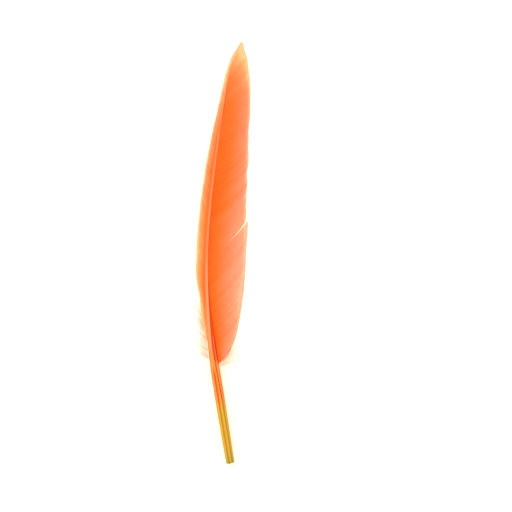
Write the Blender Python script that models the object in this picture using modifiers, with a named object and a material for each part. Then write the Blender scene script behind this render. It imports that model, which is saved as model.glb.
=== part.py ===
"""A duck wing quill, lying with its upper side up.

The feather has five pieces: the shaft (a bare hollow quill below, a tapering rachis above), a narrow
outer vane, a broad inner vane with one split, and a tuft of loose down on each side at the foot of the
vanes. X is across the feather, Y runs from the cut end to the tip, Z is up. Units are metres.
"""
import math

import bpy
import numpy as np

# Driving dimensions
SHAFT_END = 0.1742
TIP = 0.1755
APEX = (0.1765, 0.0049)
BASE = (0.00323, -0.08762)
GAP = 0.0002
SHEET = 0.0003

# Shaft: pairs of (distance from the cut end, value)
SHAFT_LINE = (
    (0.0, 0.0001), (0.025, -0.0039), (0.050, -0.0075), (0.079, -0.0099), (0.100, -0.0090),
    (0.125, -0.0063), (0.150, -0.0023), (0.167, 0.0011), (SHAFT_END, 0.0044),
)
SHAFT_WIDTH = (
    (0.0, 0.00335), (0.025, 0.0038), (0.035, 0.00385), (0.050, 0.0032), (0.068, 0.00235),
    (0.085, 0.0018), (0.130, 0.00125), (0.151, 0.00085), (SHAFT_END, 0.0002),
)
SHAFT_DEPTH = (
    (0.0, 0.0031), (0.025, 0.00355), (0.035, 0.0035), (0.050, 0.0031), (0.068, 0.0026),
    (0.085, 0.0022), (0.130, 0.0014), (0.151, 0.0009), (SHAFT_END, 0.0003),
)
UNDERSIDE = (
    (0.0, 0.0), (0.025, 0.0), (0.050, 0.0004), (0.095, 0.0010), (0.140, 0.0007), (SHAFT_END, 0.0001),
)
SQUARENESS = ((0.0, 2.0), (0.035, 2.0), (0.060, 3.2), (SHAFT_END, 3.2))
GROOVE = ((0.0, 0.0), (0.035, 0.0), (0.060, 0.16), (0.150, 0.12), (SHAFT_END, 0.0))
SHAFT_SIDES = 16
SHAFT_STATIONS = 36
WALL = 0.00045
BORE_DEPTH = 0.032
BORE_DOME = 0.0015
BORE_STATIONS = 7

# Vane edges in plan: pairs of (distance from the cut end, place across the feather)
OUTER_EDGE = (
    (0.045, -0.0082), (0.055, -0.0102), (0.068, -0.0121), (0.080, -0.0137), (0.093, -0.0132),
    (0.118, -0.0103), (0.143, -0.0058), (0.1595, -0.0019), (0.169, 0.0013), APEX,
)
INNER_EDGE = (
    (0.045, -0.0006), (0.0535, 0.0026), (0.060, 0.0039), (0.074, 0.0056), (0.093, 0.0070),
    (0.105, 0.0067), (0.130, 0.0073), (0.151, 0.0080), (0.1615, 0.0077), (0.168, 0.0069),
    (0.172, 0.0058), APEX,
)
BARB_CURL = 2.0
ATTACH_HEIGHT = 0.62
RIDGE = 0.00006
EDGE_HEIGHT = 0.00025
LENGTH_TRIALS = 24

OUTER_VANE = {
    "side": -1, "edge": OUTER_EDGE, "foot": 0.0575, "top": 0.1738, "ridges": 42, "columns": 3,
    "root_angle": ((0.055, 27.0), (0.100, 31.0), (0.160, 24.0), (SHAFT_END, 8.0)),
    "edge_angle": ((0.055, 20.0), (0.100, 22.0), (0.160, 17.0), (SHAFT_END, 4.0)),
}
INNER_VANE = {
    "side": 1, "edge": INNER_EDGE, "foot": 0.0418, "top": 0.1738, "ridges": 50, "columns": 8,
    "root_angle": ((0.040, 57.0), (0.055, 51.0), (0.080, 47.0), (0.155, 38.0), (SHAFT_END, 10.0)),
    "edge_angle": ((0.040, 30.0), (0.080, 30.0), (0.120, 28.0), (0.155, 24.0), (SHAFT_END, 5.0)),
}

# Split in the inner vane: where its barb leaves the shaft, how far out it opens, its width at the edge
SPLIT_ROOT = 0.0842
SPLIT_START = 0.37
SPLIT_WIDTH = 0.0014
SPLIT_REACH = 0.003

# Down: each tuft is a fan of pointed locks
OUTER_DOWN = {
    "side": -1, "foot": 0.0420, "top": 0.0560, "locks": 10, "columns": 5,
    "angle": (60.0, 25.0), "length": (0.0050, 0.0086),
}
INNER_DOWN = {
    "side": 1, "foot": 0.0388, "top": 0.0411, "locks": 7, "columns": 5,
    "angle": (86.0, 60.0), "length": (0.0074, 0.0108),
}
LOCK_NOTCH = 0.55
LOCK_CURL = 9.0
DOWN_LIFT = 0.0002
DOWN_END_HEIGHT = 0.0007

# Surfaces: colour, roughness
QUILL_LOOK = ((0.86, 0.35, 0.08), 0.35)
INNER_LOOK = ((1.0, 0.20, 0.04), 0.75)
OUTER_LOOK = ((1.0, 0.30, 0.09), 0.75)
DOWN_LOOK = ((0.98, 0.80, 0.62), 0.95)


def follow(guide, at):
    """The smooth curve through a guide's (place, value) pairs, read at a place."""
    places, values = np.array(guide).T
    steps = np.diff(places)
    slopes = np.diff(values) / steps
    tangents = np.empty_like(values)
    tangents[0] = slopes[0]
    tangents[-1] = slopes[-1]
    tangents[1:-1] = (steps[1:] * slopes[:-1] + steps[:-1] * slopes[1:]) / (steps[:-1] + steps[1:])
    tangents[1:-1][slopes[:-1] * slopes[1:] <= 0] = 0.0
    span = int(np.clip(np.searchsorted(places, at) - 1, 0, len(steps) - 1))
    t = float(np.clip((at - places[span]) / steps[span], 0.0, 1.0))
    rise = values[span] + (values[span + 1] - values[span]) * t * t * (3 - 2 * t)
    lead_in = steps[span] * tangents[span] * t * (1 - t) ** 2
    lead_out = steps[span] * tangents[span + 1] * t * t * (1 - t)
    return float(rise + lead_in - lead_out)


def shaft_lean(at):
    """The shaft's lean from the Y axis towards +X, in radians."""
    reach = 0.0005
    low = max(at - reach, 0.0)
    high = min(at + reach, SHAFT_END)
    return math.atan2(follow(SHAFT_LINE, high) - follow(SHAFT_LINE, low), high - low)


def new_object(name, vertices, faces, look, collection):
    """An object from a vertex and face list, with its own material."""
    colour, roughness = look
    material = bpy.data.materials.new(name)
    material.use_nodes = True
    shader = material.node_tree.nodes["Principled BSDF"]
    shader.inputs["Base Color"].default_value = (*colour, 1.0)
    shader.inputs["Roughness"].default_value = roughness
    shader.inputs["Metallic"].default_value = 0.0
    mesh = bpy.data.meshes.new(name)
    mesh.from_pydata(vertices, [], faces)
    mesh.materials.append(material)
    mesh.shade_smooth()
    mesh.set_sharp_from_angle(angle=math.radians(40))
    made = bpy.data.objects.new(name, mesh)
    made.location = (BASE[0], BASE[1], 0.0)
    collection.objects.link(made)
    return made


def shaft_section(at):
    """Outline of the shaft across its line: a list of (across, height) pairs, and its mid height."""
    half_width = follow(SHAFT_WIDTH, at) / 2
    half_depth = follow(SHAFT_DEPTH, at) / 2
    power = 2 / follow(SQUARENESS, at)
    groove = follow(GROOVE, at) * half_depth * 2
    across = []
    height = []
    for side in range(SHAFT_SIDES):
        turn = 2 * math.pi * (side + 0.5) / SHAFT_SIDES
        across.append(half_width * math.copysign(abs(math.cos(turn)) ** power, math.cos(turn)))
        raised = groove if side in (SHAFT_SIDES * 3 // 4 - 1, SHAFT_SIDES * 3 // 4) else 0.0
        height.append(half_depth * math.copysign(abs(math.sin(turn)) ** power, math.sin(turn)) + raised)
    drop = follow(UNDERSIDE, at) - min(height)
    return [(x, z + drop) for x, z in zip(across, height)], drop


def place_on_shaft(at, across):
    """Plan position of a point beside the shaft's line."""
    lean = shaft_lean(at)
    return follow(SHAFT_LINE, at) + across * math.cos(lean), at - across * math.sin(lean)


def make_shaft(collection):
    """The quill: a loft from the round hollow base to the grooved tip, closed at the tip."""
    vertices = []
    faces = []
    for station in range(SHAFT_STATIONS):
        at = SHAFT_END * station / (SHAFT_STATIONS - 1)
        section, _ = shaft_section(at)
        for across, height in section:
            vertices.append((*place_on_shaft(at, across), height))
    for ring in range(SHAFT_STATIONS - 1):
        faces += ring_faces(ring * SHAFT_SIDES, (ring + 1) * SHAFT_SIDES)
    last_ring = (SHAFT_STATIONS - 1) * SHAFT_SIDES
    faces.append([last_ring + side for side in range(SHAFT_SIDES)][::-1])

    bore_start = len(vertices)
    for i in range(BORE_STATIONS):
        at = BORE_DEPTH * i / (BORE_STATIONS - 1)
        radius = follow(SHAFT_WIDTH, at) / 2 - WALL
        vertices += bore_ring(at, radius)
    vertices += bore_ring(BORE_DEPTH + BORE_DOME, radius / 2)
    for ring in range(BORE_STATIONS):
        faces += ring_faces(bore_start + (ring + 1) * SHAFT_SIDES, bore_start + ring * SHAFT_SIDES)
    bore_end = bore_start + BORE_STATIONS * SHAFT_SIDES
    faces.append([bore_end + side for side in range(SHAFT_SIDES)])
    faces += ring_faces(bore_start, 0)
    return new_object("shaft", vertices, faces, QUILL_LOOK, collection)


def bore_ring(at, radius):
    """One ring of the hollow inside the quill."""
    _, mid_height = shaft_section(at)
    ring = []
    for side in range(SHAFT_SIDES):
        turn = 2 * math.pi * (side + 0.5) / SHAFT_SIDES
        ring.append((*place_on_shaft(at, radius * math.cos(turn)), mid_height + radius * math.sin(turn)))
    return ring


def ring_faces(first, second):
    """Quads between two rings of vertices; they face out where second lies further along +Y."""
    faces = []
    for side in range(SHAFT_SIDES):
        beside = (side + 1) % SHAFT_SIDES
        faces.append((first + side, second + side, second + beside, first + beside))
    return faces


def attach_point(side, at):
    """Where a barb leaves the shaft's side, just clear of it: x, y and height."""
    section, _ = shaft_section(at)
    lowest = min(z for _, z in section)
    highest = max(z for _, z in section)
    x, y = place_on_shaft(at, side * (follow(SHAFT_WIDTH, at) / 2 + GAP))
    return x, y, lowest + ATTACH_HEIGHT * (highest - lowest)


def barb_line(start, headings, length):
    """Plan points along a barb of even steps, one step for each heading."""
    points = [start]
    for heading in headings:
        x, y = points[-1]
        step = length / len(headings)
        points.append((x + step * math.sin(heading), y + step * math.cos(heading)))
    return points


def vane_barb(vane, at):
    """Points of one barb from the shaft to the vane's edge, arching down to the edge's height."""
    side = vane["side"]
    columns = vane["columns"]
    root_angle = follow(vane["root_angle"], at)
    edge_angle = follow(vane["edge_angle"], at)
    x, y, height = attach_point(side, at)
    headings = []
    for column in range(columns):
        out = (column + 0.5) / columns
        angle = root_angle + (edge_angle - root_angle) * out ** BARB_CURL
        headings.append(shaft_lean(at) + side * math.radians(angle))
    shortest = 0.0
    longest = 0.030
    for _ in range(LENGTH_TRIALS):
        length = (shortest + longest) / 2
        end_x, end_y = barb_line((x, y), headings, length)[-1]
        if side * (end_x - follow(vane["edge"], end_y)) < 0 and end_y < TIP:
            shortest = length
        else:
            longest = length
    line = barb_line((x, y), headings, length)
    arch = [height + (EDGE_HEIGHT - height) * (column / columns) ** 2 for column in range(columns + 1)]
    return [(px, py, pz) for (px, py), pz in zip(line, arch)]


def make_vane(name, vane, split, look, collection):
    """A vane: barbs side by side in one ridged sheet, with a slit along one barb where it has a split."""
    rows = vane["ridges"] * 2 + 1
    roots = [vane["foot"] + (vane["top"] - vane["foot"]) * row / (rows - 1) for row in range(rows)]
    split_row = min(range(rows), key=lambda row: abs(roots[row] - SPLIT_ROOT)) if split else None
    vertices = []
    lower_banks = []
    upper_banks = []
    for row, at in enumerate(roots):
        barb = vane_barb(vane, at)
        ridge = RIDGE if row % 2 else -RIDGE
        barb = [(x, y, z + ridge * bool(column)) for column, (x, y, z) in enumerate(barb)]
        if split_row is None:
            banks = [barb]
        elif row == split_row:
            banks = [open_split(barb, -1, 0.0), open_split(barb, 1, 0.0)]
        else:
            away = roots[row] - roots[split_row]
            banks = [open_split(barb, math.copysign(1, away), abs(away))]
        first = len(vertices)
        vertices += banks[0]
        lower = [first + column for column in range(len(barb))]
        upper = list(lower)
        if len(banks) == 2:
            for column in range(len(barb)):
                if banks[0][column] != banks[1][column]:
                    upper[column] = len(vertices)
                    vertices.append(banks[1][column])
        lower_banks.append(lower)
        upper_banks.append(upper)
    faces = []
    for row in range(rows - 1):
        below = upper_banks[row]
        above = lower_banks[row + 1]
        for column in range(vane["columns"]):
            face = (below[column], below[column + 1], above[column + 1], above[column])
            faces.append(face if vane["side"] > 0 else face[::-1])
    sheet = new_object(name, vertices, faces, look, collection)
    thicken(sheet)
    return sheet


def open_split(barb, direction, away):
    """Move a barb's outer part along the feather to open the split, less the further away it is."""
    moved = []
    for column, (x, y, z) in enumerate(barb):
        out = column / (len(barb) - 1)
        opening = max(0.0, (out - SPLIT_START) / (1 - SPLIT_START))
        shift = direction * SPLIT_WIDTH / 2 * opening * math.exp(-away / SPLIT_REACH)
        moved.append((x - 0.6 * shift, y + 0.8 * shift, z) if opening else (x, y, z))
    return moved


def make_down(name, tuft, look, collection):
    """A tuft of down: a fan of pointed locks that lift and fall in turn."""
    side = tuft["side"]
    columns = tuft["columns"]
    rows = tuft["locks"] * 2 + 1
    vertices = []
    for row in range(rows):
        share = row / (rows - 1)
        at = tuft["foot"] + (tuft["top"] - tuft["foot"]) * share
        angle = tuft["angle"][0] + (tuft["angle"][1] - tuft["angle"][0]) * share
        length = tuft["length"][0] + (tuft["length"][1] - tuft["length"][0]) * share
        is_tip = row % 2 == 1
        if not is_tip:
            length *= LOCK_NOTCH
        x, y, height = attach_point(side, at)
        headings = []
        for column in range(columns):
            bend = LOCK_CURL * math.sin(2 * math.pi * (column + 0.5) / columns)
            headings.append(shaft_lean(at) + side * math.radians(angle + bend))
        line = barb_line((x, y), headings, length)
        lift = DOWN_LIFT if is_tip else -DOWN_LIFT
        for column, (px, py) in enumerate(line):
            out = column / columns
            vertices.append((px, py, height + (DOWN_END_HEIGHT - height) * out ** 1.5 + lift * out))
    faces = []
    for row in range(rows - 1):
        below = row * (columns + 1)
        above = below + columns + 1
        for column in range(columns):
            face = (below + column, below + column + 1, above + column + 1, above + column)
            faces.append(face if side > 0 else face[::-1])
    sheet = new_object(name, vertices, faces, look, collection)
    thicken(sheet)
    return sheet


def thicken(sheet):
    """Give an open sheet its thickness, half to each side."""
    solidify = sheet.modifiers.new("thickness", "SOLIDIFY")
    solidify.thickness = SHEET
    solidify.offset = 0.0


def main():
    for old in list(bpy.data.objects):
        bpy.data.objects.remove(old, do_unlink=True)
    collection = bpy.data.collections.new("duck_quill")
    bpy.context.scene.collection.children.link(collection)
    make_shaft(collection)
    make_vane("outer_vane", OUTER_VANE, False, OUTER_LOOK, collection)
    make_vane("inner_vane", INNER_VANE, True, INNER_LOOK, collection)
    make_down("outer_down", OUTER_DOWN, DOWN_LOOK, collection)
    make_down("inner_down", INNER_DOWN, DOWN_LOOK, collection)


main()
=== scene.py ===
"""The looks of a dyed duck quill: shaft, barbs, down, materials, light and camera.

Units are metres. A guide is a row of (place, value) pairs, and places along the feather are measured from
the quill's cut end. Angles in the tables are degrees.
"""
import math

import bpy
import numpy as np
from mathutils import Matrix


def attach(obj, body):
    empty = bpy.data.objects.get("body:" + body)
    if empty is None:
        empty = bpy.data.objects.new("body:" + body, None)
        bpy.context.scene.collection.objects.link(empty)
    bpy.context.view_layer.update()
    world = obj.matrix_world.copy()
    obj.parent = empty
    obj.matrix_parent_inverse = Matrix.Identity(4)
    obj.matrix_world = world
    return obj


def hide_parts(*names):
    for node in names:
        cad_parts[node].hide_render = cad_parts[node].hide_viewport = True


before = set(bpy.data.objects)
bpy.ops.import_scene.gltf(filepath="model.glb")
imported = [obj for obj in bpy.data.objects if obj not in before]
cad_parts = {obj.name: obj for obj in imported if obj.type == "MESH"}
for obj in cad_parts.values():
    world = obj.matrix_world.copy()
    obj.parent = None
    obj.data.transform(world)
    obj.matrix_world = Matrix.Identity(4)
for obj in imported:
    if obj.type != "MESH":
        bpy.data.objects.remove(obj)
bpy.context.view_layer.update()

# Where the middle of the cut end lies, where shaft and vanes end, and where the vanes' edges would meet
BASE = (0.00323, -0.08762)
SHAFT_END = 0.1742
TIP = 0.1755
APEX = (0.1765, 0.0049)

# Shaft: its line, width, depth and underside, close to those of the solids, and its section
SHAFT_LINE = (
    (0.0, 0.00028), (0.025, -0.00377), (0.050, -0.0075), (0.079, -0.0099), (0.100, -0.0090),
    (0.125, -0.0063), (0.150, -0.0023), (0.167, 0.0011), (SHAFT_END, 0.0044),
)
SHAFT_WIDTH = (
    (0.0, 0.0034), (0.025, 0.00394), (0.035, 0.00395), (0.050, 0.0032), (0.068, 0.00235),
    (0.088, 0.00188), (0.130, 0.00128), (0.151, 0.00085), (SHAFT_END, 0.0002),
)
SHAFT_DEPTH = (
    (0.0, 0.0031), (0.025, 0.00355), (0.035, 0.0035), (0.050, 0.0031), (0.068, 0.0026),
    (0.085, 0.0022), (0.130, 0.0014), (0.151, 0.0009), (SHAFT_END, 0.0003),
)
UNDERSIDE = (
    (0.0, 0.0), (0.025, 0.0), (0.050, 0.0004), (0.095, 0.0010), (0.140, 0.0007), (SHAFT_END, 0.0001),
)
SQUARENESS = ((0.0, 2.0), (0.035, 2.0), (0.060, 3.2), (SHAFT_END, 3.2))
GROOVE = ((0.0, 0.0), (0.035, 0.0), (0.060, 0.16), (0.150, 0.12), (SHAFT_END, 0.0))
GROOVE_SPREAD = 0.5
GROOVE_CURVE = 0.5
FLAT_ANGLE = math.pi / 16
LEAN_REACH = 0.0005
WALL = 0.00045
BORE_DEPTH = 0.032
DOME_SHARE = 0.05
DOME_END = 0.02

# The vanes' edges, across from the cut end's middle, before their waves are added
OUTER_EDGE = (
    (0.045, -0.0082), (0.055, -0.0102), (0.068, -0.0121), (0.080, -0.0137), (0.093, -0.0132),
    (0.118, -0.0103), (0.143, -0.0058), (0.1595, -0.0019), (0.169, 0.0013), APEX,
)
INNER_EDGE = (
    (0.045, -0.0006), (0.0535, 0.0026), (0.060, 0.0039), (0.074, 0.0056), (0.093, 0.0070),
    (0.105, 0.0067), (0.130, 0.0073), (0.151, 0.0080), (0.1615, 0.0077), (0.168, 0.0069),
    (0.172, 0.0058), APEX,
)

# Fine shaft: sides, rings, and the worn rim. A rim wave is (how many round it, where it starts, strength).
SHAFT_SIDES = 48
SHAFT_RINGS = 240
BORE_RINGS = 30
RIM_ROUND = 0.00008
RIM_BACK = 0.00028
RIM_WAVE = 0.00012
RIM_WAVES = ((2, 0.6, 1.0), (5, 2.0, 0.5))
RIM_FADE = 0.001

# Barbs: how they curl, how far inside the shaft they start, and how they come down to the edge
BARB_SPACING = 0.0003
BARB_CURL = 3.0
ATTACH_DEPTH = 0.37
DROP = 0.45
EDGE_HEIGHT = 0.00025
LONGEST_BARB = 0.030
EDGE_SEARCH_STEPS = 24

# Where the barbs end: how far past the guide on each side, the pointed tip, and loose ends
EDGE_GROW = {-1: 0.00034, 1: 0.00020}
TIP_GROW = 0.0001
TIP_SLOPE = 1.6
TIP_FADE = 0.004
LOOSE_EDGE = 0.00012

# A barb's section: how far neighbours overlap, its width, its ridge above and below, and its free end. A
# corner is (share of the half width, step up or down to the next barb, ridge up or down).
OVERLAP = 1.25
BARB_SLIMMEST = 0.00006
BARB_WIDEST = 0.0004
RAMUS_TOP = 0.000035
RAMUS_BOTTOM = 0.00011
RAMUS_SHARE = 0.26
RAMUS_SLIM = 0.6
TILE = 0.000012
END_SLIM = 0.35
BARB_CORNERS = (
    (-1.0, -1.0, 0.0), (-RAMUS_SHARE, 0.0, 1.0), (RAMUS_SHARE, 0.0, 1.0),
    (1.0, 1.0, 0.0), (RAMUS_SHARE, 0.0, -1.0), (-RAMUS_SHARE, 0.0, -1.0),
)

# Barbs that cling together: how far they are pulled aside or lifted, and over how many barbs
CLUMP_PULL = 0.00009
CLUMP_SIZE = 12
GATHER_SHARE = 0.4
GATHER_SIZE = 3
LIFT_SHARE = 0.4
LIFT_SIZE = 16

# The split: its root on the shaft, where it opens along the barbs, its width, how far it is felt beside
# it, how it flares, and the way in which the barbs part
SPLIT_ROOT = 0.0850
SPLIT_START = 0.22
SPLIT_WIDTH = 0.00095
SPLIT_REACH = 0.003
SPLIT_FLARE = 1.9
SPLIT_WAY = (-0.6, 0.8)

# Vanes: side -1 is left. The guides are the share of the way up the shaft where barbs leave it, their angle
# from the shaft at root and edge, small waves of the edge, how far the dye fades at root and edge and how
# fast between, the strength of streaks, and the share of the yellow tint. Each kind of random value has a
# seed of its own, counted up from the vane's.
OUTER_VANE = {
    "side": -1, "edge": OUTER_EDGE, "foot": 0.0500, "top": 0.1739, "steps": 10, "seed": 11,
    "attach": ((0.050, 0.72), (0.060, 0.76), (SHAFT_END, 0.76)),
    "root_angle": ((0.050, 24.0), (0.100, 31.0), (0.160, 24.0), (0.169, 15.0), (SHAFT_END, 0.0)),
    "edge_angle": ((0.050, 17.0), (0.100, 22.0), (0.160, 17.0), (0.169, 9.0), (SHAFT_END, -2.0)),
    "waves": (
        (0.067, 0.0), (0.0705, 0.0002), (0.0765, 0.0), (0.105, 0.0), (0.108, -0.0002), (0.133, -0.0002),
        (0.1395, 0.00003), (0.152, 0.00018), (0.158, 0.0), (0.1605, -0.00024), (0.167, -0.00026),
        (TIP, 0.0003),
    ),
    "pale_root": (
        (0.050, 0.72), (0.055, 0.70), (0.060, 0.52), (0.066, 0.38), (0.085, 0.37), (0.100, 0.31),
        (0.125, 0.30), (0.1345, 0.38), (0.147, 0.56), (0.160, 0.84), (0.170, 1.0), (TIP, 1.2),
    ),
    "pale_edge": (
        (0.050, 1.05), (0.066, 1.12), (0.074, 1.0), (0.084, 1.08), (0.093, 0.96), (0.101, 0.96),
        (0.110, 0.80), (0.135, 0.80), (0.147, 0.86), (0.162, 1.0), (0.170, 1.05), (TIP, 1.2),
    ),
    "pale_curve": ((0.050, 1.0), (TIP, 1.0)),
    "streaks": ((0.050, 1.0), (TIP, 1.0)),
    "warm": ((0.050, 1.0), (0.100, 1.0), (0.112, 0.65), (0.150, 0.60), (0.168, 0.70), (TIP, 0.2)),
}
INNER_VANE = {
    "side": 1, "edge": INNER_EDGE, "foot": 0.0411, "top": 0.1739, "steps": 20, "seed": 12,
    "attach": ((0.040, 0.58), (0.050, 0.62), (0.072, 0.76), (SHAFT_END, 0.76)),
    "root_angle": ((0.040, 56.0), (0.055, 52.0), (0.085, 49.5), (0.155, 39.0), (0.168, 25.0),
                   (SHAFT_END, 2.0)),
    "edge_angle": ((0.040, 27.0), (0.085, 24.0), (0.120, 23.0), (0.155, 20.0), (0.168, 12.0),
                   (SHAFT_END, -2.0)),
    "waves": (
        (0.068, 0.0), (0.074, 0.0002), (0.0775, 0.0002), (0.0855, -0.00022), (0.0935, 0.00005),
        (0.098, 0.0003), (0.1005, 0.0004), (0.1015, 0.0002), (0.1035, 0.0), (0.1124, 0.0),
        (0.1172, 0.00027), (0.1215, 0.00006), (0.1245, 0.00035), (0.1285, 0.0004), (0.131, 0.0002),
        (0.134, 0.00024), (0.138, 0.00004), (0.145, 0.0003), (0.159, 0.00028), (0.165, 0.0001),
        (0.168, 0.00024), (0.171, 0.0002), (0.1725, 0.0), (0.1735, 0.0003), (TIP, 0.0),
    ),
    "pale_root": (
        (0.040, 0.04), (0.085, 0.04), (0.105, 0.01), (0.115, 0.06), (0.135, 0.14), (0.151, 0.25),
        (0.1595, 0.40), (0.168, 0.82), (0.173, 1.0), (TIP, 1.12),
    ),
    "pale_edge": (
        (0.040, 0.88), (0.052, 1.0), (0.068, 1.06), (0.078, 1.0), (0.0846, 0.93), (0.093, 0.98),
        (0.101, 0.95), (0.1095, 0.84), (0.118, 0.80), (0.126, 0.78), (0.1345, 0.78), (0.151, 0.74),
        (0.1595, 0.92), (0.168, 1.04), (TIP, 1.12),
    ),
    "pale_curve": (
        (0.040, 1.0), (0.096, 1.0), (0.1095, 1.4), (0.118, 1.7), (0.126, 1.9), (0.151, 1.9), (0.160, 2.2),
        (0.168, 1.2), (TIP, 1.0),
    ),
    "streaks": ((0.040, 1.9), (0.060, 1.7), (0.080, 1.0), (TIP, 1.0)),
    "warm": ((0.040, 0.15), (0.075, 0.12), (0.085, 0.0), (0.144, 0.0), (0.151, 0.20), (0.1595, 0.65),
             (0.168, 0.92), (0.172, 0.70), (0.1736, 0.45), (TIP, 0.15)),
}

# Down: where its roots lie, its angles and lengths from foot to top, how it bends, and how high it stands
OUTER_DOWN = {
    "side": -1, "foot": 0.0435, "top": 0.0612, "barbs": 122, "seed": 21, "bundles": 12, "curve": -4.0,
    "attach": (0.26, 0.50), "loft": 0.0012,
    "angle": (56.0, 22.0), "length": (0.0050, 0.0078), "scatter": 7.0,
}
INNER_DOWN = {
    "side": 1, "foot": 0.0398, "top": 0.0424, "barbs": 50, "seed": 22, "bundles": 6, "curve": -22.0,
    "attach": (0.26, 0.46), "loft": 0.0010,
    "angle": (84.0, 56.0), "length": (0.0092, 0.0132), "scatter": 5.0,
}
DOWN_STEPS = 14
DOWN_THICK = 0.000034
DOWN_LENGTHS = (0.72, 1.08)
DOWN_WAVE = 5.0
DOWN_WAVES = 1.3
DOWN_BEND = 8.0
DOWN_DEPTH = 0.45
BUNDLE_SPREAD = 0.34
DOWN_END_HEIGHT = 0.0006
DOWN_END_LOW = -0.0002
DOWN_FALL = 1.4
FLOOR_GAP = 0.0001

# Barbules on the down: where they sit, their size, lean and curl, and how thin tubes are made
BARBULES = 22
BARBULE_POINTS = 3
BARBULE_START = 0.18
BARBULE_END = 0.97
BARBULE_LENGTH = 0.0009
BARBULE_SIZES = (0.5, 1.1)
BARBULE_AT_ROOT = 0.9
BARBULE_SHRINK = 0.2
BARBULE_LEAN = (35, 60)
BARBULE_RISE = 0.25
BARBULE_CURL = 0.25
BARBULE_THICK = 0.000016
TUBE_SIDES = 3
TUBE_TAPER = 0.25
TINY = 1e-12

# Colours are sRGB values. Dye on the barbs, by how far it has faded, its tints, and the vanes' pale rim
WHITE = (255, 255, 255)
DYE = (
    (0.0, (255, 103, 8)), (0.25, (255, 124, 47)), (0.5, (255, 145, 94)), (0.75, (255, 168, 129)),
    (0.9, (254, 188, 151)), (1.0, (253, 213, 180)),
)
WARM_TINT = (255, 255, 206)
STREAK_SHADE = (253, 240, 222)
EDGE_PALE = 0.22
EDGE_PALE_FROM = 0.93
EDGE_PALE_BAND = 0.07

# Streaks from barb to barb: strength, and over how many barbs. Fine patches, and barbule lines a metre.
TONE = 0.16
TONE_SIZE = 14
TONE_FINE = 0.3
TONE_FINE_SIZE = 3
TONE_SINGLE = 0.2
STREAK_PALE = 0.06
STREAK_SIZE = 10
STREAK_FINE = 0.6
STREAK_FINE_SIZE = 5
STREAK_AT_ROOT = 0.25
PATCH_SCALE = 320.0
PATCH_SHARE = 0.3
NOISE_DETAIL = 4.0
BARBULE_LINES = 3500.0

# Colours of the quill, from the cut end to the tip, and of the down from root to end. The horn's and neck's
# dark colours paint lines where the inner walls show through the hollow quill, with painted shade of light
# bent through the horn.
HORN_BRIGHT = (234, 180, 66)
HORN_DARK = (200, 140, 6)
CUT_BRIGHT = (208, 180, 80)
CUT_DARK = (170, 138, 24)
RIM_COLOUR = (124, 100, 40)
NECK_BRIGHT = (252, 156, 78)
NECK_DARK = (228, 92, 0)
COLLAR = (245, 148, 84)
FLANK_RED = (222, 44, 0)
# Painted highlight along the middle of the red flank, on its lower stretch
FLANK_HIGHLIGHT = (255, 118, 60)
FLANK_DEEP = (252, 78, 8)
# Painted highlight of the pale ridge beside the red flank, and painted shade at the shaft's sides
RIDGE_HIGHLIGHT = (255, 160, 109)
SIDE_SHADE = (238, 228, 214)
# The rachis: its colour beside the highlight, then its painted highlight
RACHIS_SIDE = (246, 120, 44)
RACHIS_HIGHLIGHT = (255, 142, 90)
SPINE = (245, 110, 46)
SPINE_SIDE = (255, 146, 92)
QUILL_TIP = (254, 184, 118)
FIBRE_DARK = (220, 213, 204)
FIBRE_LIGHT = (240, 240, 240)
FIBRES_ACROSS = 8.0
FIBRES_ALONG = 120.0
DOWN = ((0.0, (255, 204, 146)), (0.35, (255, 224, 178)), (0.75, (255, 238, 208)), (1.0, (255, 246, 226)))

# Where the quill's dark lines of painted shade lie, across in metres, and the red flank's border, in half
# widths. A painted highlight, the pale ridge, runs beside that border. Each line has half a width, and a
# core where it is full.
LEFT_SHADE_LINE = ((0.0, -0.00046), (0.010, -0.00052), (0.028, -0.00058), (0.038, -0.00060), (0.050, -0.0008))
RIGHT_SHADE_LINE = ((0.0, 0.00095), (0.026, 0.00095), (0.030, 0.00082), (0.038, 0.00058), (0.043, 0.00045))
FLANK_BORDER = (
    (0.040, 0.10), (0.050, 0.0), (0.059, 0.24), (0.065, 0.46), (0.0735, 0.76), (0.090, 0.84), (0.110, 0.90),
    (SHAFT_END, 0.96),
)
RIDGE_BESIDE = 0.0005
LEFT_LINE_HALF = 0.00056
RIGHT_LINE_HALF = 0.00042
RIDGE_HALF = 0.0006
LINE_CORE = 0.3

# Where colours of the quill come in, from none at the first place to full at the second: along in metres,
# and across in half widths of the shaft or shares of the flank
RIM_BAND = (0.0009, 0.0002)
LEFT_LINE_BAND = (0.0415, 0.0365)
RIGHT_LINE_BAND = (0.0450, 0.0410)
SIDE_BAND = (0.060, 0.076)
SIDE_ACROSS = (0.1, -0.45)
RIDGE_BAND = (0.044, 0.052)
RIDGE_END_BAND = (0.090, 0.075)
FLANK_BAND = (0.0405, 0.0435)
FLANK_ACROSS = (-0.15, 0.12)
FLANK_DEEP_BAND = (0.048, 0.058)
FLANK_PALE_BAND = (0.070, 0.090)

# Share of light that comes through from behind
THROUGH_VANE = 0.2
THROUGH_DOWN = 0.35

# Floor and light: colours are linear
FLOOR_SIDE = 3.0
FLOOR_DROP = 0.00002
FLOOR_LOOK = {
    "Base Color": (0.24, 0.36, 0.50, 1.0), "Roughness": 0.9, "Specular IOR Level": 0.0,
    "Emission Color": (0.92, 0.68, 0.38, 1.0), "Emission Strength": 1.0,
}
WORLD_STRENGTH = 1.12
LAMP_SIZE = 0.7
LAMP_POWER = 3.0
LAMP_PLACE = (-0.45, 0.35, 0.75)
LAMP_TURN = (math.radians(-25), math.radians(-31), 0.0)

# Camera: size of one photo pixel on the feather, and the photo's middle in this frame. Blender takes its
# sensor and lens in millimetres.
PIXEL = 0.000416
PICTURE_SIDE = 512
PICTURE_MIDDLE = (BASE[0] + 0.0109, BASE[1] + 0.08624)
CAMERA_HEIGHT = 1.0
CLIP_START = 0.01
SENSOR = 0.036


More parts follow.
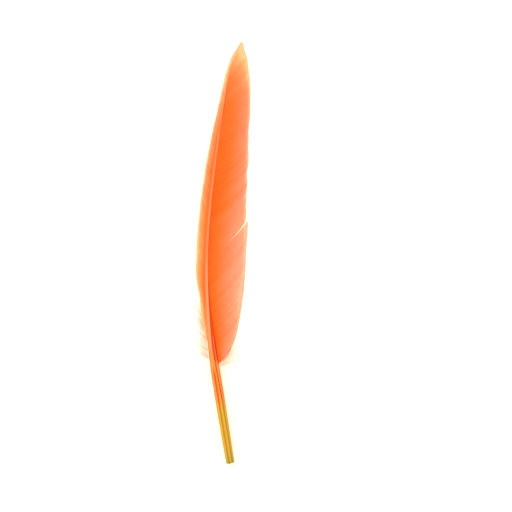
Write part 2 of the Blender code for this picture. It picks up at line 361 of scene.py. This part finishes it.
def follow(guide, at):
    """The smooth curve through a guide's (place, value) pairs, read at places."""
    places, values = np.array(guide).T
    at = np.asarray(at, dtype=float)
    steps = np.diff(places)
    slopes = np.diff(values) / steps
    tangents = np.empty_like(values)
    tangents[0] = slopes[0]
    tangents[-1] = slopes[-1]
    tangents[1:-1] = (steps[1:] * slopes[:-1] + steps[:-1] * slopes[1:]) / (steps[:-1] + steps[1:])
    tangents[1:-1][slopes[:-1] * slopes[1:] <= 0] = 0.0
    span = np.clip(np.searchsorted(places, at) - 1, 0, len(steps) - 1)
    t = np.clip((at - places[span]) / steps[span], 0.0, 1.0)
    rise = values[span] + (values[span + 1] - values[span]) * t * t * (3 - 2 * t)
    lead_in = steps[span] * tangents[span] * t * (1 - t) ** 2
    lead_out = steps[span] * tangents[span + 1] * t * t * (1 - t)
    return rise + lead_in - lead_out


def shaft_lean(at):
    """The shaft's lean from the Y axis towards +X, in radians."""
    low = np.maximum(np.asarray(at) - LEAN_REACH, 0.0)
    high = np.minimum(np.asarray(at) + LEAN_REACH, SHAFT_END)
    return np.arctan2(follow(SHAFT_LINE, high) - follow(SHAFT_LINE, low), high - low)


def on_shaft(at, across):
    """Plan position of points beside the shaft's line."""
    lean = shaft_lean(at)
    x = BASE[0] + follow(SHAFT_LINE, at) + across * np.cos(lean)
    y = BASE[1] + at - across * np.sin(lean)
    return x, y


def shaft_height(at, share):
    """Height of a point a share of the way up the shaft's side."""
    return follow(UNDERSIDE, at) + share * follow(SHAFT_DEPTH, at)


def smooth_noise(count, seed, size):
    """Random values from -1 to 1, one for each barb, that change smoothly over size barbs."""
    random = np.random.default_rng(seed)
    knots = random.uniform(-1, 1, int(count / size) + 3)
    return np.interp(np.arange(count) / size, np.arange(len(knots)), knots)


def mesh_object(name, vertices, faces, attributes):
    """A smooth-shaded object with float attributes on its points."""
    mesh = bpy.data.meshes.new(name)
    mesh.from_pydata(vertices.tolist(), [], faces)
    for key, values in attributes.items():
        mesh.attributes.new(key, "FLOAT", "POINT").data.foreach_set("value", values.astype(np.float32))
    mesh.shade_smooth()
    made = bpy.data.objects.new(name, mesh)
    bpy.context.scene.collection.objects.link(made)
    return made


def tube_faces(tubes, rings, sides):
    """Quads along many closed tubes of equal make, with a flat cap at each end."""
    faces = []
    for tube in range(tubes):
        first = tube * rings * sides
        for ring in range(rings - 1):
            here = first + ring * sides
            there = here + sides
            for side in range(sides):
                beside = (side + 1) % sides
                faces.append((here + side, here + beside, there + beside, there + side))
        last = first + (rings - 1) * sides
        faces.append([first + side for side in range(sides)][::-1])
        faces.append([last + side for side in range(sides)])
    return faces


def build_shaft():
    """The shaft: fine rings from the cut end to the tip, and the hollow inside the quill."""
    turn = 2 * np.pi * (np.arange(SHAFT_SIDES) + 0.5) / SHAFT_SIDES
    at = SHAFT_END * (np.arange(SHAFT_RINGS) / (SHAFT_RINGS - 1))
    at[0] = RIM_ROUND
    half_width = follow(SHAFT_WIDTH, at)[:, None] / 2
    half_depth = follow(SHAFT_DEPTH, at)[:, None] / 2
    power = 2 / follow(SQUARENESS, at)[:, None]
    across = half_width * np.sign(np.cos(turn)) * np.abs(np.cos(turn)) ** power
    rise = half_depth * np.sign(np.sin(turn)) * np.abs(np.sin(turn)) ** power
    below = np.clip(1 - np.abs(np.cos(turn)) / GROOVE_SPREAD, 0, 1) * (np.sin(turn) < 0)
    rise = rise + follow(GROOVE, at)[:, None] * 2 * half_depth * below ** GROOVE_CURVE
    rise = np.maximum(rise, -half_depth * math.cos(FLAT_ANGLE))
    mid_height = (follow(UNDERSIDE, at) - rise.min(axis=1))[:, None]
    x, y = on_shaft(np.broadcast_to(at[:, None], across.shape), across)
    outer = np.stack([x, y, rise + mid_height], axis=2)

    inner_at = np.linspace(RIM_ROUND, BORE_DEPTH, BORE_RINGS)
    radius = follow(SHAFT_WIDTH, inner_at)[:, None] / 2 - WALL
    dome = np.sqrt(np.clip((BORE_DEPTH - inner_at) / (BORE_DEPTH * DOME_SHARE), DOME_END, 1))[:, None]
    inner_mid = np.interp(inner_at, at, mid_height[:, 0])[:, None]
    inner_across = radius * dome * np.cos(turn)
    x, y = on_shaft(np.broadcast_to(inner_at[:, None], inner_across.shape), inner_across)
    inner = np.stack([x, y, inner_mid + radius * dome * np.sin(turn)], axis=2)

    rim_across = (half_width[0] - WALL / 2) * np.cos(turn)
    x, y = on_shaft(np.zeros(SHAFT_SIDES), rim_across)
    rim = np.stack([x, y, mid_height[0] + (half_depth[0] - WALL / 2) * np.sin(turn)], axis=1)
    wave = RIM_BACK + RIM_WAVE * sum(strength * np.sin(times * turn + start)
                                     for times, start, strength in RIM_WAVES)
    fade = np.clip(1 - at / RIM_FADE, 0, 1)[:, None]
    outer[:, :, 1] += wave * fade
    rim[:, 1] += wave
    inner[0, :, 1] += wave

    rings = np.concatenate([outer[::-1], rim[None], inner])
    count = len(rings)
    faces = tube_faces(1, count, SHAFT_SIDES)
    ring_place = np.concatenate([at[::-1], [0.0], inner_at])
    shape = (count, SHAFT_SIDES)
    beside = np.concatenate([across[::-1], rim_across[None], inner_across])
    half = follow(SHAFT_WIDTH, ring_place)[:, None] / 2
    border = np.minimum(follow(FLANK_BORDER, ring_place), FLANK_BORDER[-1][1])[:, None]
    return mesh_object("quill_shaft", rings.reshape(-1, 3), faces, {
        "along": np.broadcast_to(ring_place[:, None], shape).ravel(),
        "across": (beside / half).ravel(),
        "left_shade_line": (beside - follow(LEFT_SHADE_LINE, ring_place)[:, None]).ravel(),
        "right_shade_line": (beside - follow(RIGHT_SHADE_LINE, ring_place)[:, None]).ravel(),
        "flank": ((beside / half - border) / (1 - border)).ravel(),
        "ridge_highlight_line": (beside - border * half + RIDGE_BESIDE).ravel(),
    })


def barb_shares(steps):
    """Shares of a barb's length at its rings, closer at the free end, where it narrows."""
    share = np.linspace(0, 1, steps + 1)
    share[-2] = (1 + share[-2]) / 2
    return share


def barb_paths(vane, roots):
    """Points of many barbs from the shaft to the vane's edge: an array of barbs by steps by 3."""
    side = vane["side"]
    steps = vane["steps"]
    root_angle = follow(vane["root_angle"], roots)[:, None]
    edge_angle = follow(vane["edge_angle"], roots)[:, None]
    share = barb_shares(steps)
    part = np.diff(share)
    out = (share[1:] + share[:-1]) / 2
    heading = shaft_lean(roots)[:, None] + side * np.radians(
        root_angle + (edge_angle - root_angle) * out ** BARB_CURL)
    unit = np.zeros((len(roots), steps + 1, 2))
    unit[:, 1:, 0] = np.cumsum(np.sin(heading) * part, axis=1)
    unit[:, 1:, 1] = np.cumsum(np.cos(heading) * part, axis=1)
    inside = (follow(SHAFT_WIDTH, roots) - follow(SHAFT_WIDTH, SHAFT_END)) * ATTACH_DEPTH
    start_x, start_y = on_shaft(roots, side * inside)
    shortest = np.zeros(len(roots))
    longest = np.full(len(roots), LONGEST_BARB)
    for _ in range(EDGE_SEARCH_STEPS):
        length = (shortest + longest) / 2
        end_x = start_x + length * unit[:, -1, 0] - BASE[0]
        end_y = start_y + length * unit[:, -1, 1] - BASE[1]
        grow = side * EDGE_GROW[side] * np.clip((TIP - end_y) / TIP_FADE, 0, 1)
        edge = follow(vane["edge"], end_y) + follow(vane["waves"], end_y) + grow
        roof = TIP + TIP_GROW - TIP_SLOPE * np.abs(end_x - APEX[1])
        within = (side * (end_x - edge) < 0) & ((end_y < roof) | (end_y < TIP - TIP_FADE))
        shortest = np.where(within, length, shortest)
        longest = np.where(within, longest, length)
    random = np.random.default_rng(vane["seed"])
    length = length - LOOSE_EDGE * random.uniform(0, 1, len(roots)) ** 2
    height = shaft_height(roots, follow(vane["attach"], roots))[:, None]
    points = np.empty((len(roots), steps + 1, 3))
    points[:, :, 0] = start_x[:, None] + length[:, None] * unit[:, :, 0]
    points[:, :, 1] = start_y[:, None] + length[:, None] * unit[:, :, 1]
    beside = np.abs(points[:, -1:, 0] - points[:, :1, 0])
    points[:, :, 2] = height + np.maximum(EDGE_HEIGHT - height, -DROP * beside) * share ** 2
    return points, length


def along_normals(points, side):
    """Unit vectors in plan, across each barb towards the tip of the feather."""
    ahead = np.gradient(points[:, :, :2], axis=1)
    ahead /= np.linalg.norm(ahead, axis=2, keepdims=True)
    return side * np.stack([-ahead[:, :, 1], ahead[:, :, 0]], axis=2)


def open_split(points, roots):
    """Part the barbs on both sides of the split."""
    share = barb_shares(points.shape[1] - 1)
    opening = np.clip((share - SPLIT_START) / (1 - SPLIT_START), 0, 1) ** SPLIT_FLARE
    away = roots - SPLIT_ROOT
    shift = np.where(away < 0, -0.5, 0.5) * SPLIT_WIDTH * np.exp(-np.abs(away) / SPLIT_REACH)
    for axis, way in enumerate(SPLIT_WAY):
        points[:, :, axis] += way * shift[:, None] * opening


def cling_together(vane, points, normals, share):
    """Pull and lift barbs in clumps, more towards their free ends."""
    count = len(points)
    clump = smooth_noise(count, vane["seed"] + 1, CLUMP_SIZE)
    gather = smooth_noise(count, vane["seed"] + 2, GATHER_SIZE)
    lift = smooth_noise(count, vane["seed"] + 3, LIFT_SIZE)
    pull = (CLUMP_PULL * clump + CLUMP_PULL * GATHER_SHARE * gather)[:, None] * share ** 3
    points[:, :, :2] += normals * pull[:, :, None]
    points[:, :, 2] += LIFT_SHARE * CLUMP_PULL * lift[:, None] * share ** 2


def barb_values(vane, roots, points, length, share):
    """What the material reads at each ring: fading, distance from the root, streaks and yellow tint."""
    count = len(roots)
    place = points[:, :, 1] - BASE[1]
    near = follow(SHAFT_LINE, place) + vane["side"] * follow(SHAFT_WIDTH, place) / 2
    out = np.clip((points[:, :, 0] - BASE[0] - near) / (follow(vane["edge"], place) - near), 0, 1)
    pale_root = follow(vane["pale_root"], place)
    pale_edge = follow(vane["pale_edge"], place)
    pale = pale_root + (pale_edge - pale_root) * out ** follow(vane["pale_curve"], place)
    pale += EDGE_PALE * np.clip((out - EDGE_PALE_FROM) / EDGE_PALE_BAND, 0, 1)
    streak = smooth_noise(count, vane["seed"] + 7, STREAK_SIZE)
    streak += STREAK_FINE * smooth_noise(count, vane["seed"] + 8, STREAK_FINE_SIZE)
    pale += STREAK_PALE * streak[:, None] * (STREAK_AT_ROOT + (1 - STREAK_AT_ROOT) * share)
    tone = TONE * smooth_noise(count, vane["seed"] + 4, TONE_SIZE)
    tone += TONE_FINE * smooth_noise(count, vane["seed"] + 5, TONE_FINE_SIZE)
    tone += TONE_SINGLE * np.random.default_rng(vane["seed"] + 6).uniform(-1, 1, count)
    tone = 0.5 + tone * follow(vane["streaks"], roots)
    return {
        "pale": pale,
        "reach": length[:, None] * share,
        "tone": np.broadcast_to(tone[:, None], pale.shape),
        "warm": np.clip(follow(vane["warm"], place), 0, 1),
    }


def build_vane(name, vane, split):
    """A vane: every barb is a ridged strip that overlaps its neighbour like a roof tile."""
    count = round((vane["top"] - vane["foot"]) / BARB_SPACING) + 1
    roots = np.linspace(vane["foot"], vane["top"], count)
    points, length = barb_paths(vane, roots)
    normals = along_normals(points, vane["side"])
    share = barb_shares(vane["steps"])
    cling_together(vane, points, normals, share)
    if split:
        open_split(points, roots)
    gaps = np.abs(np.sum(np.diff(points[:, :, :2], axis=0) * normals[:-1], axis=2))
    if split:
        split_barb = int(np.searchsorted(roots, SPLIT_ROOT)) - 1
        gaps[split_barb] = gaps[split_barb - 1]
    gaps = np.concatenate([gaps, gaps[-1:]])
    half = np.clip(gaps, BARB_SLIMMEST, BARB_WIDEST) * 0.5 * OVERLAP
    half[:, -1] *= END_SLIM
    slim = (1 - RAMUS_SLIM * share)[None, :]
    sides = len(BARB_CORNERS)
    rings = np.repeat(points[:, :, None, :], sides, axis=2)
    for corner, (out, tile, ridge) in enumerate(BARB_CORNERS):
        rings[:, :, corner, :2] += normals * (half * out)[:, :, None]
        ridge_height = RAMUS_TOP if ridge > 0 else RAMUS_BOTTOM
        rings[:, :, corner, 2] += TILE * tile + ridge * ridge_height * slim
    faces = tube_faces(count, vane["steps"] + 1, sides)
    if vane["side"] > 0:
        faces = [face[::-1] for face in faces]
    values = barb_values(vane, roots, points, length, share)
    values = {key: np.repeat(value, sides) for key, value in values.items()}
    return mesh_object(name, rings.reshape(-1, 3), faces, values)


def thin_tubes(paths, thick):
    """Rings of thin tapering tubes along many paths."""
    ahead = np.gradient(paths, axis=1)
    ahead /= np.linalg.norm(ahead, axis=2, keepdims=True) + TINY
    level = np.cross(ahead, np.array([0.0, 0.0, 1.0]))
    level /= np.linalg.norm(level, axis=2, keepdims=True) + TINY
    upright = np.cross(level, ahead)
    turn = 2 * np.pi * np.arange(TUBE_SIDES) / TUBE_SIDES
    taper = np.linspace(1, TUBE_TAPER, paths.shape[1])[None, :, None, None] * thick / 2
    ring = level[:, :, None, :] * np.cos(turn)[None, None, :, None]
    ring = ring + upright[:, :, None, :] * np.sin(turn)[None, None, :, None]
    return paths[:, :, None, :] + ring * taper


def down_paths(tuft, random, out):
    """Lines of a tuft's barbs, in loose bundles, with points at the shares out of their length."""
    side = tuft["side"]
    count = tuft["barbs"]
    share = random.uniform(0, 1, count) * tuft["bundles"]
    share = (np.floor(share) + 0.5 + BUNDLE_SPREAD * random.normal(0, 1, count)) / tuft["bundles"]
    share = np.sort(np.clip(share, 0, 1))
    at = tuft["foot"] + (tuft["top"] - tuft["foot"]) * share
    angle = tuft["angle"][0] + (tuft["angle"][1] - tuft["angle"][0]) * share
    angle += random.normal(0, tuft["scatter"], count)
    length = tuft["length"][0] + (tuft["length"][1] - tuft["length"][0]) * share
    length *= random.uniform(*DOWN_LENGTHS, count)
    phase = random.uniform(0, 2 * np.pi, count)
    wave = DOWN_WAVE * np.sin(phase[:, None] + 2 * np.pi * DOWN_WAVES * out[None, 1:])
    bend = (tuft["curve"] + random.normal(0, DOWN_BEND, count))[:, None] * out[None, 1:]
    heading = shaft_lean(at)[:, None] + side * np.radians(angle[:, None] + wave + bend)
    x, y = on_shaft(at, side * follow(SHAFT_WIDTH, at) * DOWN_DEPTH)
    paths = np.zeros((count, DOWN_STEPS + 1, 3))
    paths[:, 1:, 0] = np.cumsum(np.sin(heading), axis=1) * length[:, None] / DOWN_STEPS
    paths[:, 1:, 1] = np.cumsum(np.cos(heading), axis=1) * length[:, None] / DOWN_STEPS
    paths[:, :, 0] += x[:, None]
    paths[:, :, 1] += y[:, None]
    height = shaft_height(at, random.uniform(*tuft["attach"], count))[:, None]
    end_height = DOWN_END_HEIGHT + random.uniform(DOWN_END_LOW, tuft["loft"], count)[:, None]
    paths[:, :, 2] = height + (end_height - height) * out ** DOWN_FALL
    return paths


def between(values, knots, places):
    """Rows of x, y, z at the knots of a barb, read at places between them."""
    return np.stack([np.interp(places, knots, values[:, axis]) for axis in range(3)], axis=1)


def barbule_paths(paths, random, places):
    """Lines of the short curled barbules, on both sides of each barb at the places."""
    knots = np.arange(DOWN_STEPS + 1) / DOWN_STEPS
    stems = []
    for path in paths:
        roots = between(path, knots, places)
        ahead = between(np.gradient(path, axis=0), knots, places)
        ahead /= np.linalg.norm(ahead, axis=1, keepdims=True)
        level = np.stack([-ahead[:, 1], ahead[:, 0], np.zeros(BARBULES)], axis=1)
        for hand in (-1, 1):
            lean = np.radians(random.uniform(*BARBULE_LEAN, BARBULES))[:, None]
            way = ahead * np.cos(lean) + hand * level * np.sin(lean)
            way[:, 2] += random.normal(0, BARBULE_RISE, BARBULES)
            size = BARBULE_LENGTH * random.uniform(*BARBULE_SIZES, BARBULES)
            size *= BARBULE_AT_ROOT - BARBULE_SHRINK * places
            curl = ahead * (size * BARBULE_CURL)[:, None]
            middle = roots + way * (size * 0.5)[:, None]
            end = roots + way * size[:, None] + curl
            stems.append(np.stack([roots, middle, end], axis=1))
    stems = np.concatenate(stems)
    stems[:, :, 2] = np.maximum(stems[:, :, 2], FLOOR_GAP)
    return stems


def build_down(name, tuft):
    """A tuft of loose down: wavy barbs, each with fine barbules on both sides."""
    random = np.random.default_rng(tuft["seed"])
    out = np.linspace(0, 1, DOWN_STEPS + 1)
    places = np.linspace(BARBULE_START, BARBULE_END, BARBULES)
    paths = down_paths(tuft, random, out)
    stems = barbule_paths(paths, random, places)
    rami = thin_tubes(paths, DOWN_THICK).reshape(-1, 3)
    fine = thin_tubes(stems, BARBULE_THICK).reshape(-1, 3)
    faces = tube_faces(len(paths), DOWN_STEPS + 1, TUBE_SIDES)
    for face in tube_faces(len(stems), BARBULE_POINTS, TUBE_SIDES):
        faces.append([index + len(rami) for index in face])
    ramus_reach = np.tile(np.repeat(out, TUBE_SIDES), len(paths))
    fine_reach = np.tile(np.repeat(places, BARBULE_POINTS * TUBE_SIDES), 2 * len(paths))
    return mesh_object(name, np.concatenate([rami, fine]), faces, {
        "reach": np.concatenate([ramus_reach, fine_reach]),
    })


def linear(value):
    """Linear light from an sRGB value of 0 to 255."""
    value = value / 255
    return value / 12.92 if value <= 0.04045 else ((value + 0.055) / 1.055) ** 2.4


class Look:
    """A material in the making. Its methods add nodes and give back the socket with their result."""

    def __init__(self, name):
        self.material = bpy.data.materials.new(name)
        self.material.use_nodes = True
        self.nodes = self.material.node_tree.nodes
        self.links = self.material.node_tree.links
        self.shader = self.nodes["Principled BSDF"]

    def settle(self, colour, settings):
        """Give the shader its colour, a socket, and the settings that are the same all over."""
        self.links.new(colour, self.shader.inputs["Base Color"])
        for name, value in settings.items():
            self.shader.inputs[name].default_value = value

    def attribute(self, name):
        """The value of a float that the mesh carries on its points."""
        node = self.nodes.new("ShaderNodeAttribute")
        node.attribute_name = name
        return node.outputs["Fac"]

    def ramp(self, source, stops):
        """A colour ramp: stops are (place, sRGB colour from 0 to 255)."""
        node = self.nodes.new("ShaderNodeValToRGB")
        elements = node.color_ramp.elements
        for element, (place, colour) in zip(elements, (stops[0], stops[-1])):
            element.position = place
            element.color = [*map(linear, colour), 1.0]
        for place, colour in stops[1:-1]:
            elements.new(place).color = [*map(linear, colour), 1.0]
        self.links.new(source, node.inputs["Fac"])
        return node.outputs["Color"]

    def remap(self, source, low, high):
        """0 at low and 1 at high, with a soft step between; low may be the larger."""
        node = self.nodes.new("ShaderNodeMapRange")
        node.interpolation_type = "SMOOTHSTEP"
        node.inputs["From Min"].default_value = low
        node.inputs["From Max"].default_value = high
        self.links.new(source, node.inputs["Value"])
        return node.outputs["Result"]

    def mix(self, factor, first, second, blend="MIX"):
        """Mix two colours; factor is a number or a socket."""
        node = self.nodes.new("ShaderNodeMix")
        node.data_type = "RGBA"
        node.blend_type = blend
        if isinstance(factor, float):
            node.inputs["Factor"].default_value = factor
        else:
            self.links.new(factor, node.inputs["Factor"])
        self.links.new(first, node.inputs["A"])
        self.links.new(second, node.inputs["B"])
        return node.outputs["Result"]

    def calculate(self, operation, first, second=0.0):
        """The result of a Math node; first and second are numbers or sockets."""
        node = self.nodes.new("ShaderNodeMath")
        node.operation = operation
        for socket, value in zip(node.inputs, (first, second)):
            if isinstance(value, (int, float)):
                socket.default_value = value
            else:
                self.links.new(value, socket)
        return node.outputs["Value"]

    def times(self, first, second):
        """The product of two numbers or sockets."""
        return self.calculate("MULTIPLY", first, second)

    def vector(self, x, y=None):
        """A vector whose X, and Y where it is given, come from sockets."""
        node = self.nodes.new("ShaderNodeCombineXYZ")
        self.links.new(x, node.inputs["X"])
        if y is not None:
            self.links.new(y, node.inputs["Y"])
        return node.outputs["Vector"]

    def noise(self, scale, vector):
        """Noise at the places that vector gives."""
        node = self.nodes.new("ShaderNodeTexNoise")
        node.inputs["Scale"].default_value = scale
        node.inputs["Detail"].default_value = NOISE_DETAIL
        self.links.new(vector, node.inputs["Vector"])
        return node.outputs["Fac"]

    def line_mask(self, name, half_width):
        """1 on a line painted along the quill, fading to 0 at half_width beside it."""
        distance = self.calculate("ABSOLUTE", self.attribute(name))
        return self.remap(distance, half_width, half_width * LINE_CORE)

    def bump(self, height, strength, distance):
        """Let a height stand out from the surface."""
        node = self.nodes.new("ShaderNodeBump")
        node.inputs["Strength"].default_value = strength
        node.inputs["Distance"].default_value = distance
        self.links.new(height, node.inputs["Height"])
        self.links.new(node.outputs["Normal"], self.shader.inputs["Normal"])

    def let_light_through(self, colour, share):
        """Mix a share of light that comes through from behind into the surface."""
        through = self.nodes.new("ShaderNodeBsdfTranslucent")
        self.links.new(colour, through.inputs["Color"])
        blend = self.nodes.new("ShaderNodeMixShader")
        blend.inputs["Fac"].default_value = share
        self.links.new(self.shader.outputs["BSDF"], blend.inputs[1])
        self.links.new(through.outputs["BSDF"], blend.inputs[2])
        self.links.new(blend.outputs["Shader"], self.nodes["Material Output"].inputs["Surface"])


def vane_material(name):
    """Barbs: dye that pales outward and to the tip, streaked barb by barb, with barbule lines."""
    look = Look(name)
    colour = look.ramp(look.attribute("pale"), DYE)
    warm = look.ramp(look.attribute("warm"), ((0.0, WHITE), (1.0, WARM_TINT)))
    colour = look.mix(1.0, colour, warm, "MULTIPLY")
    place = look.nodes.new("ShaderNodeTexCoord").outputs["Object"]
    patch = look.remap(look.noise(PATCH_SCALE, place), 0.35, 0.65)
    tone = look.times(look.attribute("tone"), 1 - PATCH_SHARE)
    streak = look.calculate("ADD", tone, look.times(patch, PATCH_SHARE))
    shade = look.ramp(streak, ((0.15, STREAK_SHADE), (0.75, WHITE)))
    colour = look.mix(1.0, colour, shade, "MULTIPLY")
    look.settle(colour, {
        "Roughness": 0.72, "Specular IOR Level": 0.1,
        "Sheen Weight": 0.05, "Sheen Roughness": 0.5, "Sheen Tint": (1.0, 0.75, 0.5, 1.0),
    })
    barbules = look.nodes.new("ShaderNodeTexWave")
    barbules.wave_profile = "SIN"
    barbules.inputs["Scale"].default_value = 1.0
    reach = look.times(look.attribute("reach"), BARBULE_LINES)
    look.links.new(look.vector(reach), barbules.inputs["Vector"])
    look.bump(barbules.outputs["Fac"], strength=0.25, distance=0.00002)
    look.let_light_through(colour, THROUGH_VANE)
    return look.material


def shaft_material():
    """Horn: olive-yellow at the cut end, orange above, with lengthwise lines, painted highlights, painted
    shade and a red flank.
    """
    look = Look("dyed_horn")
    along = look.attribute("along")
    across = look.attribute("across")
    flank = look.attribute("flank")
    place = look.calculate("DIVIDE", along, SHAFT_END)

    # the horn with the rachis's painted highlight, two lines of painted shade, and the darker left side
    bright = look.ramp(place, (
        (0.0, CUT_BRIGHT), (0.05, HORN_BRIGHT), (0.125, HORN_BRIGHT), (0.165, NECK_BRIGHT),
        (0.24, NECK_BRIGHT), (0.30, COLLAR), (0.36, COLLAR), (0.41, RACHIS_HIGHLIGHT), (0.77, RACHIS_HIGHLIGHT),
        (0.85, SPINE), (0.90, SPINE), (0.97, QUILL_TIP),
    ))
    dark = look.ramp(place, (
        (0.0, CUT_DARK), (0.04, HORN_DARK), (0.12, HORN_DARK), (0.155, NECK_DARK), (0.24, NECK_DARK),
        (0.36, NECK_DARK), (0.42, RACHIS_SIDE), (0.76, RACHIS_SIDE), (0.84, SPINE_SIDE), (0.97, QUILL_TIP),
    ))
    # dark lines where the inner walls show through, with painted shade of light bent through the horn
    left = look.times(look.line_mask("left_shade_line", LEFT_LINE_HALF), look.remap(along, *LEFT_LINE_BAND))
    right = look.times(look.line_mask("right_shade_line", RIGHT_LINE_HALF), look.remap(along, *RIGHT_LINE_BAND))
    # darker on the left side of the rachis, outside its painted highlight
    side = look.times(look.remap(across, *SIDE_ACROSS), look.remap(along, *SIDE_BAND))
    colour = bright
    for share in (left, right, side):
        colour = look.mix(share, colour, dark)

    # the painted highlight of the pale ridge beside the flank, and painted shade on both sides
    ridge = look.times(look.line_mask("ridge_highlight_line", RIDGE_HALF), look.remap(along, *RIDGE_BAND))
    ridge = look.times(ridge, look.remap(along, *RIDGE_END_BAND))
    colour = look.mix(ridge, colour, look.ramp(along, ((0.0, RIDGE_HIGHLIGHT), (1.0, RIDGE_HIGHLIGHT))))
    side_shade = look.ramp(look.calculate("ABSOLUTE", across), ((0.72, WHITE), (0.98, SIDE_SHADE)))
    colour = look.mix(1.0, colour, side_shade, "MULTIPLY")

    # the red flank, with a painted highlight along its middle on its lower stretch
    red_low = look.ramp(flank, (
        (0.0, RACHIS_SIDE), (0.18, FLANK_RED), (0.55, FLANK_HIGHLIGHT), (0.92, FLANK_RED), (1.0, FLANK_RED)))
    red_high = look.ramp(flank, (
        (0.0, RACHIS_SIDE), (0.30, FLANK_RED), (0.60, FLANK_DEEP), (1.0, FLANK_DEEP)))
    red = look.mix(look.remap(along, *FLANK_DEEP_BAND), red_low, red_high)
    spine = look.ramp(place, ((0.5, SPINE), (0.9, SPINE), (0.97, QUILL_TIP)))
    red = look.mix(look.remap(along, *FLANK_PALE_BAND), red, spine)
    on_flank = look.times(look.remap(flank, *FLANK_ACROSS), look.remap(along, *FLANK_BAND))
    colour = look.mix(on_flank, colour, red)

    # fibres along the horn, and the worn rim
    drawn_out = look.vector(look.times(across, FIBRES_ACROSS), look.times(along, FIBRES_ALONG))
    fibre = look.noise(1.0, drawn_out)
    shade = look.ramp(fibre, ((0.3, FIBRE_DARK), (0.6, FIBRE_LIGHT)))
    colour = look.mix(1.0, colour, shade, "MULTIPLY")
    rim = look.ramp(fibre, ((0.3, RIM_COLOUR), (0.7, CUT_DARK)))
    colour = look.mix(look.remap(along, *RIM_BAND), colour, rim)
    look.settle(colour, {
        "Roughness": 0.34, "Specular IOR Level": 0.1,
        "Subsurface Weight": 0.1, "Subsurface Scale": 0.0006, "Subsurface Radius": (1.0, 0.5, 0.2),
    })
    look.bump(fibre, strength=0.2, distance=0.00005)
    return look.material


def down_material():
    """Down: very pale peach, paler towards the ends of its barbs."""
    look = Look("pale_down")
    colour = look.ramp(look.attribute("reach"), DOWN)
    look.settle(colour, {"Roughness": 0.8, "Specular IOR Level": 0.2, "Sheen Weight": 0.1})
    look.let_light_through(colour, THROUGH_DOWN)
    return look.material


def dress(piece, material, node):
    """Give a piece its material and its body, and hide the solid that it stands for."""
    piece.data.materials.append(material)
    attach(piece, "root")
    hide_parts(node)


def build_stage():
    """A plain pale floor, soft light and a camera that looks straight down."""
    bpy.ops.mesh.primitive_plane_add(size=FLOOR_SIDE, location=(0.0, 0.0, -FLOOR_DROP))
    floor = bpy.context.object
    floor.name = "floor"
    look = Look("pale_floor")
    for name, value in FLOOR_LOOK.items():
        look.shader.inputs[name].default_value = value
    floor.data.materials.append(look.material)

    world = bpy.data.worlds.new("soft_world")
    bpy.context.scene.world = world
    world.use_nodes = True
    sky = world.node_tree.nodes["Background"]
    sky.inputs["Color"].default_value = (1.0, 1.0, 1.0, 1.0)
    sky.inputs["Strength"].default_value = WORLD_STRENGTH

    lamp = bpy.data.lights.new("softbox", "AREA")
    lamp.size = LAMP_SIZE
    lamp.energy = LAMP_POWER
    light = bpy.data.objects.new("softbox", lamp)
    light.location = LAMP_PLACE
    light.rotation_euler = LAMP_TURN
    bpy.context.scene.collection.objects.link(light)

    lens = bpy.data.cameras.new("camera")
    lens.sensor_width = SENSOR * 1000
    lens.lens = SENSOR * 1000 * CAMERA_HEIGHT / (PIXEL * PICTURE_SIDE)
    lens.clip_start = CLIP_START
    camera = bpy.data.objects.new("camera", lens)
    camera.location = (*PICTURE_MIDDLE, CAMERA_HEIGHT)
    bpy.context.scene.collection.objects.link(camera)
    bpy.context.scene.camera = camera
    bpy.context.scene.view_settings.view_transform = "Standard"


def main():
    """Build the stage and the five pieces."""
    build_stage()
    dress(build_shaft(), shaft_material(), "shaft")
    broad = build_vane("broad_vane", INNER_VANE, True)
    dress(broad, vane_material("broad_vane_barbs"), "inner_vane")
    narrow = build_vane("narrow_vane", OUTER_VANE, False)
    dress(narrow, vane_material("narrow_vane_barbs"), "outer_vane")
    down = down_material()
    dress(build_down("outer_down_barbs", OUTER_DOWN), down, "outer_down")
    dress(build_down("inner_down_barbs", INNER_DOWN), down, "inner_down")


main()
